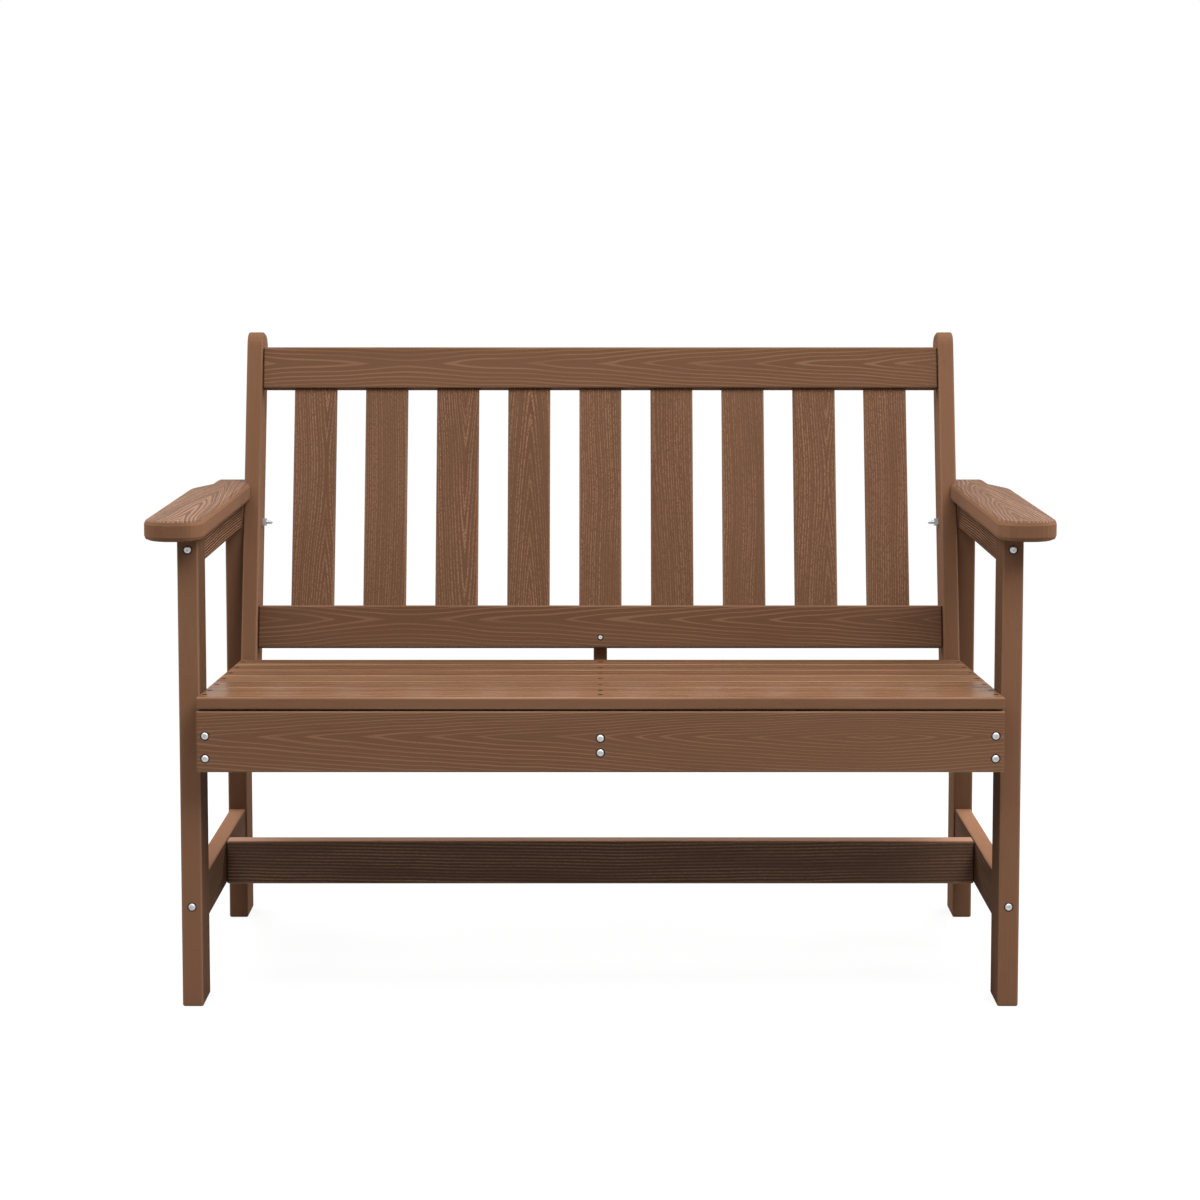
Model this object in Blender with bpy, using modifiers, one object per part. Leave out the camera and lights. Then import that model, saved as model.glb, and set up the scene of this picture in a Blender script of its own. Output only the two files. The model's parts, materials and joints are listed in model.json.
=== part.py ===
"""Outdoor bench of plastic lumber: two leg frames with armrests, a slatted seat and a raked slat back.

Run with blender --background --python part.py, or from Blender's text editor.
Units are metres, +Z is up, the sitter faces -Y and +X is to the right in the front view.
The origin is on the floor, at the middle of the bench's width and depth.
"""

import math
from collections import namedtuple

import bmesh
import bpy
from mathutils import Matrix, Vector

# Fits
JOINT_GAP = 0.0003
SEAT_END_CLEARANCE = 0.0004
BORE_CLEARANCE = 0.0003
COUNTERBORE_CLEARANCE = 0.0011
APRON_TOP_GAP = 0.0024

# Leg frames
LEG_SPREAD = 1.1444
LEG_THICKNESS = 0.0286
LEG_DEPTH = 0.0635
ARM_UNDERSIDE = 0.6455
FRAME_RAIL_THICKNESS = 0.024
ARM_SUPPORT_HEIGHT = 0.039
ARM_SUPPORT_BOLT_DROP = 0.0148
STRETCHER_CENTER = 0.1387
STRETCHER_HEIGHT = 0.0635
CROSS_STRETCHER_THICKNESS = 0.026

# Armrests: a front end of two large corners with a short flat between them, and a narrower rear end
ARM_SIDE_OVERHANG = 0.0426
ARM_FRONT_OVERHANG = 0.042
ARM_WIDTH = 0.0808
ARM_THICKNESS = 0.028
ARM_INNER_RADIUS = 0.03
ARM_FRONT_FLAT = 0.0123
ARM_TAPER_RADIUS = 0.025
ARM_REAR_STEP = 0.0223
ARM_TAPER_LENGTH = 0.066
ARM_REAR_LENGTH = 0.065
ARM_EDGE_RADIUS = 0.006

# Seat
SEAT_FRONT_HEIGHT = 0.4365
SEAT_OVERHANG = 0.0405
SEAT_PITCH = math.radians(3.26)
SEAT_SLAT_THICKNESS = 0.0165
SEAT_FRONT_SLAT_WIDTH = 0.1035
SEAT_SLAT_WIDTH = 0.0635
SEAT_SLAT_GAP = 0.003
SEAT_NARROW_SLATS = 5
SEAT_RAIL_THICKNESS = 0.024
CENTER_RAIL_THICKNESS = 0.0205
SEAT_RAIL_LIFT = 0.0081
APRON_HEIGHT = 0.0836
APRON_THICKNESS = 0.022
APRON_END_BOLT_RISE = 0.0188
APRON_END_BOLT_SPACING = 0.0308
APRON_CENTER_BOLT_RISE = 0.0267
APRON_CENTER_BOLT_SPACING = 0.0199

# Back
BACK_RAKE = math.radians(13.0)
POST_THICKNESS = 0.024
POST_DEPTH = 0.0635
POST_TOP_RADIUS = 0.022
POST_HORN = 0.0256
BACK_RAIL_WIDTH = 0.0635
BACK_RAIL_THICKNESS = 0.028
BACK_RAIL_RECESS = 0.006
BOTTOM_RAIL_RISE = 0.0187
BACK_SLAT_LENGTH = 0.3345
BACK_SLAT_WIDTH = 0.0645
BACK_SLAT_THICKNESS = 0.015
BACK_SLAT_PITCH = 0.1095
TENON_LENGTH = 0.012
BRACE_DEPTH = 0.03
BRACE_LAP = 0.045
BRACE_SCREW_RISE = 0.0146

# Bolts, screw and nuts
BOLT_DIAMETER = 0.006
BOLT_HEAD_DIAMETER = 0.0108
BOLT_CROWN_DIAMETER = 0.0068
BOLT_HEAD_HEIGHT = 0.0033
BOLT_HEAD_PROUD = 0.0006
BOLT_SOCKET_FLATS = 0.004
BOLT_SOCKET_DEPTH = 0.0018
END_GRAIN_BITE = 0.035
SIDE_BITE = 0.018
SCREW_DIAMETER = 0.004
SCREW_HEAD_DIAMETER = 0.0072
SCREW_CROWN_DIAMETER = 0.0046
SCREW_HEAD_HEIGHT = 0.0024
SCREW_HEAD_PROUD = 0.0002
SCREW_SOCKET_FLATS = 0.0025
SCREW_SOCKET_DEPTH = 0.0012
SCREW_BITE = 0.02
POST_BOLT_DROP = 0.0351
POST_BOLT_INSET = 0.0362
POST_BOLT_STUB = 0.009
NUT_FLATS = 0.01
NUT_HEIGHT = 0.0065

# Holes for the screws of the seat slats, the back's rails and the armrests. The screws are left out here.
SCREW_MOUTH_DIAMETER = 0.0082
SCREW_MOUTH_DEPTH = 0.0045
SCREW_PILOT_DIAMETER = 0.0036
SEAT_SCREW_END_INSET = 0.0082
SEAT_SCREW_EDGE_INSET = 0.0288
BACK_RAIL_SCREW_BITE = 0.03

# Button heads: shares of the head's height, and of the way from its crown out to its rim
HEAD_RIM_SHARE = 0.33
HEAD_SHOULDER_SHARE = 0.75
HEAD_SHOULDER_REACH = 0.67

# Rounding of the boards, facets of the round pieces and reach of the cutters
BOARD_EDGE_RADIUS = 0.0025
EDGE_SEGMENTS = 2
EDGE_ANGLE = math.radians(40)
CORNER_SEGMENTS = 8
ROUND_STEPS = 12
FLAT_ANGLE = math.radians(0.1)
WELD_DISTANCE = 0.00001
CUTTER_REACH = 0.01

# Finishes: colour, roughness and metallic value
LUMBER = ((0.19, 0.089, 0.047), 0.55, 0.0)
STEEL = ((0.62, 0.62, 0.63), 0.3, 1.0)

Fastener = namedtuple("Fastener", "shank head crown height proud socket socket_depth")
BOLT = Fastener(
    BOLT_DIAMETER,
    BOLT_HEAD_DIAMETER,
    BOLT_CROWN_DIAMETER,
    BOLT_HEAD_HEIGHT,
    BOLT_HEAD_PROUD,
    BOLT_SOCKET_FLATS,
    BOLT_SOCKET_DEPTH,
)
SCREW = Fastener(
    SCREW_DIAMETER,
    SCREW_HEAD_DIAMETER,
    SCREW_CROWN_DIAMETER,
    SCREW_HEAD_HEIGHT,
    SCREW_HEAD_PROUD,
    SCREW_SOCKET_FLATS,
    SCREW_SOCKET_DEPTH,
)

# Distances from the middle of the bench to either side
LEG_OUTER = LEG_SPREAD / 2
LEG_INNER = LEG_OUTER - LEG_THICKNESS
LEG_MIDDLE = LEG_OUTER - LEG_THICKNESS / 2
FRAME_RAIL_INNER = LEG_MIDDLE - FRAME_RAIL_THICKNESS / 2
FRAME_RAIL_OUTER = LEG_MIDDLE + FRAME_RAIL_THICKNESS / 2
ARM_OUTER = LEG_OUTER + ARM_SIDE_OVERHANG
ARM_INNER = ARM_OUTER - ARM_WIDTH
SEAT_HALF_LENGTH = LEG_INNER - SEAT_END_CLEARANCE
SEAT_RAIL_OUTER = LEG_INNER - JOINT_GAP
SEAT_RAIL_INNER = SEAT_RAIL_OUTER - SEAT_RAIL_THICKNESS
SEAT_RAIL_MIDDLE = SEAT_RAIL_OUTER - SEAT_RAIL_THICKNESS / 2
POST_OUTER = LEG_INNER - JOINT_GAP
POST_INNER = POST_OUTER - POST_THICKNESS
BACK_RAIL_END = POST_INNER - JOINT_GAP

# The crease, where the raked back meets the seat: along the seat, then behind the front legs' front
LEAN = BACK_RAKE - SEAT_PITCH
SEAT_DEPTH = SEAT_FRONT_SLAT_WIDTH + SEAT_NARROW_SLATS * (SEAT_SLAT_GAP + SEAT_SLAT_WIDTH)
CREASE_DISTANCE = SEAT_DEPTH + JOINT_GAP + SEAT_SLAT_THICKNESS * math.tan(LEAN)
CREASE_Y = CREASE_DISTANCE * math.cos(SEAT_PITCH) - SEAT_OVERHANG
CREASE_Z = SEAT_FRONT_HEIGHT - CREASE_DISTANCE * math.sin(SEAT_PITCH)

# Distances behind the front face of the front legs. The rear legs stand where the post bolts cross the posts.
POST_BOLT_HEIGHT = ARM_UNDERSIDE - POST_BOLT_DROP
REAR_LEG_MIDDLE = (
    CREASE_Y + POST_BOLT_INSET / math.cos(BACK_RAKE) + (POST_BOLT_HEIGHT - CREASE_Z) * math.tan(BACK_RAKE)
)
REAR_LEG_FRONT = REAR_LEG_MIDDLE - LEG_DEPTH / 2
REAR_LEG_BACK = REAR_LEG_MIDDLE + LEG_DEPTH / 2
FRONT_LEG_MIDDLE = LEG_DEPTH / 2
STRETCHER_START = LEG_DEPTH + JOINT_GAP
STRETCHER_END = REAR_LEG_FRONT - JOINT_GAP
CROSS_MIDDLE = REAR_LEG_BACK / 2
APRON_BACK = APRON_THICKNESS - SEAT_OVERHANG
SEAT_RAIL_FRONT = APRON_BACK + JOINT_GAP

# Heights above the floor
LEG_TOP = ARM_UNDERSIDE - JOINT_GAP
ARM_SUPPORT_BOLT = LEG_TOP - ARM_SUPPORT_BOLT_DROP
STRETCHER_HEIGHTS = (STRETCHER_CENTER - STRETCHER_HEIGHT / 2, STRETCHER_CENTER + STRETCHER_HEIGHT / 2)
APRON_TOP = SEAT_FRONT_HEIGHT - SEAT_SLAT_THICKNESS * math.cos(SEAT_PITCH) - APRON_TOP_GAP
APRON_BOTTOM = APRON_TOP - APRON_HEIGHT

# Along the raked back, measured up from the crease and back from the posts' front faces
BOTTOM_RAIL_TOP = BOTTOM_RAIL_RISE + BACK_RAIL_WIDTH
TOP_RAIL_RISE = BOTTOM_RAIL_TOP + BACK_SLAT_LENGTH
TOP_RAIL_TOP = TOP_RAIL_RISE + BACK_RAIL_WIDTH
POST_TOP = TOP_RAIL_TOP + POST_HORN
BACK_RAIL_MIDDLE = BACK_RAIL_RECESS + BACK_RAIL_THICKNESS / 2
BACK_RAIL_BACK = BACK_RAIL_RECESS + BACK_RAIL_THICKNESS
BRACE_FRONT = BACK_RAIL_BACK + JOINT_GAP

# As many back slats as fit between the posts, with a space at each end
BACK_SLAT_SPACE = BACK_SLAT_PITCH - BACK_SLAT_WIDTH
BACK_SLATS = int((2 * BACK_RAIL_END - BACK_SLAT_SPACE) / BACK_SLAT_PITCH)

# The bench's depth runs from the front of the arms or seat to the back of the post tops
BENCH_FRONT = -max(ARM_FRONT_OVERHANG, SEAT_OVERHANG + SEAT_SLAT_THICKNESS * math.sin(SEAT_PITCH))
BENCH_BACK = (
    CREASE_Y
    + (POST_DEPTH - POST_TOP_RADIUS) * math.cos(BACK_RAKE)
    + (POST_TOP - POST_TOP_RADIUS) * math.sin(BACK_RAKE)
    + POST_TOP_RADIUS
)
BENCH_MIDDLE = (BENCH_FRONT + BENCH_BACK) / 2

SIDES = (("left", -1), ("right", 1))
TO_BACK = Vector((0, 1, 0))
TO_FRONT = Vector((0, -1, 0))
TO_FLOOR = Vector((0, 0, -1))
TO_SKY = Vector((0, 0, 1))

pieces = {}


def clear_scene():
    for obj in list(bpy.data.objects):
        bpy.data.objects.remove(obj, do_unlink=True)


def make_collection(name):
    collection = bpy.data.collections.new(name)
    bpy.context.scene.collection.children.link(collection)
    return collection


def make_frame(name, parent, location, turn_x):
    """An empty that pieces are parented to."""
    frame = bpy.data.objects.new(name, None)
    parts.objects.link(frame)
    frame.parent = parent
    frame.location = location
    frame.rotation_euler = (turn_x, 0, 0)
    return frame


def give_finish(piece, finish):
    colour, roughness, metallic = finish
    material = bpy.data.materials.new(piece.name + "_finish")
    material.use_nodes = True
    shader = material.node_tree.nodes["Principled BSDF"]
    shader.inputs["Base Color"].default_value = (*colour, 1)
    shader.inputs["Roughness"].default_value = roughness
    shader.inputs["Metallic"].default_value = metallic
    piece.data.materials.append(material)


def make_piece(name, mesh, parent, location, turn=(0, 0, 0), finish=LUMBER):
    """Places a mesh as a named piece of the bench."""
    piece = bpy.data.objects.new(name, mesh)
    piece.parent = parent
    piece.location = location
    piece.rotation_euler = turn
    parts.objects.link(piece)
    give_finish(piece, finish)
    pieces[name] = piece
    return piece


def make_cutter(name, mesh, parent, location, turn=(0, 0, 0)):
    """Places a mesh that only cuts pieces."""
    cutter = bpy.data.objects.new(name, mesh)
    cutter.parent = parent
    cutter.location = location
    cutter.rotation_euler = turn
    cutter.hide_render = True
    cutter.display_type = "WIRE"
    cutters.objects.link(cutter)
    return cutter


def cut(piece, cutter):
    hole = piece.modifiers.new(cutter.name, "BOOLEAN")
    hole.operation = "DIFFERENCE"
    hole.solver = "EXACT"
    hole.object = cutter


def round_edges(piece, radius):
    bevel = piece.modifiers.new("rounded_edges", "BEVEL")
    bevel.width = radius
    bevel.segments = EDGE_SEGMENTS
    bevel.limit_method = "ANGLE"
    bevel.angle_limit = EDGE_ANGLE


def finished_mesh(name, shape):
    mesh = bpy.data.meshes.new(name)
    shape.to_mesh(mesh)
    shape.free()
    return mesh


def evaluated_mesh(name, source):
    """The mesh of an object with its modifiers applied, welded and flattened. The object is removed."""
    bpy.context.scene.collection.objects.link(source)
    graph = bpy.context.evaluated_depsgraph_get()
    raw = bpy.data.meshes.new_from_object(source.evaluated_get(graph))
    bpy.data.objects.remove(source, do_unlink=True)
    shape = bmesh.new()
    shape.from_mesh(raw)
    bpy.data.meshes.remove(raw)
    bmesh.ops.remove_doubles(shape, verts=shape.verts, dist=WELD_DISTANCE)
    bmesh.ops.dissolve_limit(shape, angle_limit=FLAT_ANGLE, verts=shape.verts, edges=shape.edges)
    bmesh.ops.recalc_face_normals(shape, faces=shape.faces)
    return finished_mesh(name, shape)


def across(side, inner, outer):
    """The x range between two distances from the middle, on one side of the bench."""
    return sorted((side * inner, side * outer))


def box_mesh(name, xs, ys, zs):
    """A box over three ranges, and its middle."""
    lows, highs = (Vector(ends) for ends in zip(xs, ys, zs))
    shape = bmesh.new()
    bmesh.ops.create_cube(shape, size=1, matrix=Matrix.Diagonal((*(highs - lows), 1)))
    return finished_mesh(name, shape), (lows + highs) / 2


def board(name, parent, xs, ys, zs):
    """A straight board with rounded edges, over three ranges in its parent's frame."""
    mesh, middle = box_mesh(name, xs, ys, zs)
    piece = make_piece(name, mesh, parent, middle)
    round_edges(piece, BOARD_EDGE_RADIUS)


def box_cutter(name, parent, xs, ys, zs):
    mesh, middle = box_mesh(name, xs, ys, zs)
    return make_cutter(name, mesh, parent, middle)


def rounded_outline(corners):
    """The points of an outline whose corners are (x, y, radius), with an arc at each radius."""
    points = []
    for index, (x, y, radius) in enumerate(corners):
        corner = Vector((x, y))
        if radius == 0:
            points.append(corner)
            continue
        to_last = (Vector(corners[index - 1][:2]) - corner).normalized()
        to_next = (Vector(corners[(index + 1) % len(corners)][:2]) - corner).normalized()
        half_angle = to_last.angle(to_next) / 2
        center = corner + (to_last + to_next).normalized() * (radius / math.sin(half_angle))
        reach = radius / math.tan(half_angle)
        start = corner + to_last * reach - center
        end = corner + to_next * reach - center
        for step in range(CORNER_SEGMENTS + 1):
            points.append(center + start.slerp(end, step / CORNER_SEGMENTS) * radius)
    return points


def outline_mesh(name, corners, thickness):
    """A flat outline given thickness, half of it on each side of its own XY plane."""
    points = rounded_outline(corners)
    curve = bpy.data.curves.new(name, "CURVE")
    curve.dimensions = "2D"
    curve.fill_mode = "BOTH"
    curve.extrude = thickness / 2
    spline = curve.splines.new("POLY")
    spline.points.add(len(points) - 1)
    for spline_point, point in zip(spline.points, points):
        spline_point.co = (*point, 0, 1)
    spline.use_cyclic_u = True
    mesh = evaluated_mesh(name, bpy.data.objects.new(name, curve))
    bpy.data.curves.remove(curve)
    return mesh


def side_board(name, parent, xs, corners):
    """A board on edge, with an outline of (y, z, radius) corners, over an x range."""
    mesh = outline_mesh(name, corners, xs[1] - xs[0])
    stand_up = (math.radians(90), 0, math.radians(90))
    piece = make_piece(name, mesh, parent, (sum(xs) / 2, 0, 0), stand_up)
    round_edges(piece, BOARD_EDGE_RADIUS)


def turned_mesh(name, profile):
    """A solid turned about Z. The profile's (radius, z) points run from the top down its outer side."""
    shape = bmesh.new()
    verts = [shape.verts.new((radius, 0, z)) for radius, z in profile]
    for upper, lower in zip(verts, verts[1:]):
        shape.edges.new((upper, lower))
    turned = bpy.data.objects.new(name, finished_mesh(name, shape))
    screw = turned.modifiers.new("turn", "SCREW")
    screw.steps = ROUND_STEPS
    screw.render_steps = ROUND_STEPS
    screw.use_merge_vertices = True
    screw.merge_threshold = WELD_DISTANCE
    return evaluated_mesh(name, turned)


def hexagon_mesh(name, flats, low, high):
    """A hexagonal prism about Z, between two heights."""
    corner_radius = flats / 2 / math.cos(math.radians(30))
    shape = bmesh.new()
    bmesh.ops.create_cone(
        shape,
        cap_ends=True,
        segments=6,
        radius1=corner_radius,
        radius2=corner_radius,
        depth=high - low,
        matrix=Matrix.Translation((0, 0, (low + high) / 2)),
    )
    return finished_mesh(name, shape)


def fastener_mesh(name, kind, length):
    """A button head standing on z = 0, with a hexagon socket in it and a shank down to -length."""
    shank, head, crown = kind.shank / 2, kind.head / 2, kind.crown / 2
    shoulder = crown + (head - crown) * HEAD_SHOULDER_REACH
    profile = (
        (0, kind.height),
        (crown, kind.height),
        (shoulder, kind.height * HEAD_SHOULDER_SHARE),
        (head, kind.height * HEAD_RIM_SHARE),
        (head, 0),
        (shank, 0),
        (shank, -length + shank / 2),
        (shank / 2, -length),
        (0, -length),
    )
    blank = bpy.data.objects.new(name, turned_mesh(name, profile))
    socket_bottom = kind.height - kind.socket_depth
    socket_mesh = hexagon_mesh(name + "_socket", kind.socket, socket_bottom, kind.height + kind.socket_depth)
    socket = make_cutter(name + "_socket", socket_mesh, None, (0, 0, 0))
    cut(blank, socket)
    mesh = evaluated_mesh(name, blank)
    bpy.data.objects.remove(socket, do_unlink=True)
    mesh.shade_smooth()
    mesh.set_sharp_from_angle(angle=EDGE_ANGLE)
    return mesh


def bore_mesh(name, kind, length):
    """The counterbore and hole that take a fastener of that kind and length."""
    mouth = kind.head / 2 + COUNTERBORE_CLEARANCE
    hole = kind.shank / 2 + BORE_CLEARANCE
    profile = (
        (0, kind.height + CUTTER_REACH),
        (mouth, kind.height + CUTTER_REACH),
        (mouth, -JOINT_GAP),
        (hole, -JOINT_GAP),
        (hole, -length - BORE_CLEARANCE),
        (0, -length - BORE_CLEARANCE),
    )
    return turned_mesh(name, profile)


def turn_to(direction):
    """The turn that points a fastener's or a cutter's lower end along a direction."""
    return TO_FLOOR.rotation_difference(direction).to_euler()


def screw_hole(name, parent, face, direction, length, joined):
    """A counterbored hole from a point on a face, a length along a direction, through the joined pieces."""
    mouth, pilot = SCREW_MOUTH_DIAMETER / 2, SCREW_PILOT_DIAMETER / 2
    profile = (
        (0, CUTTER_REACH),
        (mouth, CUTTER_REACH),
        (mouth, -SCREW_MOUTH_DEPTH),
        (pilot, -SCREW_MOUTH_DEPTH),
        (pilot, -length),
        (0, -length),
    )
    hole = make_cutter(name, turned_mesh(name, profile), parent, face, turn_to(direction))
    for piece in joined:
        cut(pieces[piece], hole)


def fasten(name, kind, parent, face, direction, length, joined):
    """A fastener from a point on a face, a length along a direction, in a hole through the joined pieces."""
    turn = turn_to(direction)
    sunk = kind.height - kind.proud
    seat = Vector(face) + direction * sunk
    make_piece(name, fastener_mesh(name, kind, length - sunk), parent, seat, turn, STEEL)
    bore = make_cutter(name + "_bore", bore_mesh(name + "_bore", kind, length - sunk), parent, seat, turn)
    for piece in joined:
        cut(pieces[piece], bore)


def seat_line(y, drop):
    """The height, at a depth y, of a line that is a drop below the seat's top and parallel to it."""
    return SEAT_FRONT_HEIGHT - (y + SEAT_OVERHANG) * math.tan(SEAT_PITCH) - drop / math.cos(SEAT_PITCH)


# The seat's rails are parallel to it, from just under the slats to a little above the apron's lower edge
SEAT_RAIL_TOP_DROP = SEAT_SLAT_THICKNESS + JOINT_GAP
SEAT_RAIL_FRONT_TOP = seat_line(SEAT_RAIL_FRONT, SEAT_RAIL_TOP_DROP)
SEAT_RAIL_HEIGHT = (SEAT_RAIL_FRONT_TOP - APRON_BOTTOM - SEAT_RAIL_LIFT) * math.cos(SEAT_PITCH)
SEAT_RAIL_BOTTOM_DROP = SEAT_RAIL_TOP_DROP + SEAT_RAIL_HEIGHT
SEAT_RAIL_MIDDLE_DROP = SEAT_RAIL_TOP_DROP + SEAT_RAIL_HEIGHT / 2


def build_leg_frame(side_name, side):
    """Two legs, the stretcher between them, the arm support and their bolts."""
    front_leg, rear_leg = "front_leg_" + side_name, "rear_leg_" + side_name
    stretcher, support = "side_stretcher_" + side_name, "arm_support_" + side_name
    leg_width = across(side, LEG_INNER, LEG_OUTER)
    board(front_leg, root, leg_width, (0, LEG_DEPTH), (0, LEG_TOP))
    board(rear_leg, root, leg_width, (REAR_LEG_FRONT, REAR_LEG_BACK), (0, LEG_TOP))
    rail_width = across(side, FRAME_RAIL_INNER, FRAME_RAIL_OUTER)
    between_legs = (STRETCHER_START, STRETCHER_END)
    board(stretcher, root, rail_width, between_legs, STRETCHER_HEIGHTS)
    board(support, root, rail_width, between_legs, (LEG_TOP - ARM_SUPPORT_HEIGHT, LEG_TOP))

    length = LEG_DEPTH + END_GRAIN_BITE
    for rail, rail_name, height in (
        (support, "arm_support", ARM_SUPPORT_BOLT),
        (stretcher, "side_stretcher", STRETCHER_CENTER),
    ):
        front_face = (side * LEG_MIDDLE, 0, height)
        rear_face = (side * LEG_MIDDLE, REAR_LEG_BACK, height)
        name = rail_name + "_{}_bolt_" + side_name
        fasten(name.format("front"), BOLT, root, front_face, TO_BACK, length, (front_leg, rail))
        fasten(name.format("rear"), BOLT, root, rear_face, TO_FRONT, length, (rear_leg, rail))


def build_armrest(side_name, side):
    """A flat armrest on the two legs, notched round the raked back post."""
    front = -ARM_FRONT_OVERHANG
    outer_radius = ARM_WIDTH - ARM_INNER_RADIUS - ARM_FRONT_FLAT
    taper_end = REAR_LEG_BACK - ARM_REAR_LENGTH
    rear_outer = ARM_OUTER - ARM_REAR_STEP
    corners = (
        (side * ARM_INNER, front, ARM_INNER_RADIUS),
        (side * ARM_OUTER, front, outer_radius),
        (side * ARM_OUTER, taper_end - ARM_TAPER_LENGTH, ARM_TAPER_RADIUS),
        (side * rear_outer, taper_end, ARM_TAPER_RADIUS),
        (side * rear_outer, REAR_LEG_BACK, 0),
        (side * ARM_INNER, REAR_LEG_BACK, 0),
    )
    name = "armrest_" + side_name
    mesh = outline_mesh(name, corners, ARM_THICKNESS)
    armrest = make_piece(name, mesh, root, (0, 0, ARM_UNDERSIDE + ARM_THICKNESS / 2))
    round_edges(armrest, ARM_EDGE_RADIUS)
    notch = box_cutter(
        name + "_notch",
        back_frame,
        across(side, POST_INNER - CUTTER_REACH, POST_OUTER + JOINT_GAP),
        (-JOINT_GAP, POST_DEPTH + CUTTER_REACH),
        (0, POST_TOP),
    )
    cut(armrest, notch)

    support = "arm_support_" + side_name
    length = ARM_SUPPORT_HEIGHT + SCREW_BITE
    for place, share in (("front", 1 / 4), ("rear", 3 / 4)):
        y = STRETCHER_START + share * (STRETCHER_END - STRETCHER_START)
        face = (side * LEG_MIDDLE, y, LEG_TOP - ARM_SUPPORT_HEIGHT)
        screw_hole(f"{name}_{place}_hole", root, face, TO_SKY, length, (support, name))


def build_cross_stretcher():
    end = FRAME_RAIL_INNER - JOINT_GAP
    half = CROSS_STRETCHER_THICKNESS / 2
    board("cross_stretcher", root, (-end, end), (CROSS_MIDDLE - half, CROSS_MIDDLE + half), STRETCHER_HEIGHTS)
    for side_name, side in SIDES:
        face = (side * FRAME_RAIL_OUTER, CROSS_MIDDLE, STRETCHER_CENTER)
        joined = ("side_stretcher_" + side_name, "cross_stretcher")
        length = FRAME_RAIL_THICKNESS + END_GRAIN_BITE
        fasten("cross_stretcher_bolt_" + side_name, BOLT, root, face, Vector((-side, 0, 0)), length, joined)


def build_seat_rails():
    """The side rails bolted to the legs, and the center rail, which ends on the raked brace."""
    front_bottom = seat_line(SEAT_RAIL_FRONT, SEAT_RAIL_BOTTOM_DROP)
    side_corners = (
        (SEAT_RAIL_FRONT, SEAT_RAIL_FRONT_TOP, 0),
        (SEAT_RAIL_FRONT, front_bottom, 0),
        (REAR_LEG_BACK, seat_line(REAR_LEG_BACK, SEAT_RAIL_BOTTOM_DROP), 0),
        (REAR_LEG_BACK, seat_line(REAR_LEG_BACK, SEAT_RAIL_TOP_DROP), 0),
    )
    for side_name, side in SIDES:
        rail = "seat_side_rail_" + side_name
        side_board(rail, root, across(side, SEAT_RAIL_INNER, SEAT_RAIL_OUTER), side_corners)
        for leg, y in (("front_leg_", FRONT_LEG_MIDDLE), ("rear_leg_", REAR_LEG_MIDDLE)):
            face = (side * LEG_OUTER, y, seat_line(y, SEAT_RAIL_MIDDLE_DROP))
            inward = Vector((-side, 0, 0))
            name = "seat_rail_" + leg + "bolt_" + side_name
            fasten(name, BOLT, root, face, inward, LEG_THICKNESS + SIDE_BITE, (leg + side_name, rail))

    def brace_line(drop):
        """The depth of the brace's front face, where it meets a line that is a drop below the seat's top."""
        distance = CREASE_DISTANCE + (BACK_RAIL_BACK - drop * math.sin(LEAN)) / math.cos(LEAN)
        return distance * math.cos(SEAT_PITCH) - drop * math.sin(SEAT_PITCH) - SEAT_OVERHANG

    rear_top, rear_bottom = brace_line(SEAT_RAIL_TOP_DROP), brace_line(SEAT_RAIL_BOTTOM_DROP)
    center_corners = (
        (SEAT_RAIL_FRONT, SEAT_RAIL_FRONT_TOP, 0),
        (SEAT_RAIL_FRONT, front_bottom, 0),
        (rear_bottom, seat_line(rear_bottom, SEAT_RAIL_BOTTOM_DROP), 0),
        (rear_top, seat_line(rear_top, SEAT_RAIL_TOP_DROP), 0),
    )
    half = CENTER_RAIL_THICKNESS / 2
    side_board("seat_center_rail", root, (-half, half), center_corners)


def build_seat_slats():
    """A wide front slat and the narrow ones behind it, screwed down at each rail."""
    ends = (-SEAT_HALF_LENGTH, SEAT_HALF_LENGTH)
    screw_reach = SEAT_HALF_LENGTH - SEAT_SCREW_END_INSET
    screwed_rails = (
        (-screw_reach, "seat_side_rail_left"),
        (0, "seat_center_rail"),
        (screw_reach, "seat_side_rail_right"),
    )
    start = 0
    for index in range(SEAT_NARROW_SLATS + 1):
        slat = f"seat_slat_{index + 1}"
        width = SEAT_SLAT_WIDTH if index else SEAT_FRONT_SLAT_WIDTH
        insets = (width / 2,) if index else (SEAT_SCREW_EDGE_INSET, width - SEAT_SCREW_EDGE_INSET)
        board(slat, seat_frame, ends, (start, start + width), (-SEAT_SLAT_THICKNESS, 0))
        for x, rail in screwed_rails:
            for inset in insets:
                length = SEAT_SLAT_THICKNESS + SCREW_BITE
                screw_hole(slat + "_hole", seat_frame, (x, start + inset, 0), TO_FLOOR, length, (slat, rail))
        start += width + SEAT_SLAT_GAP


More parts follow.
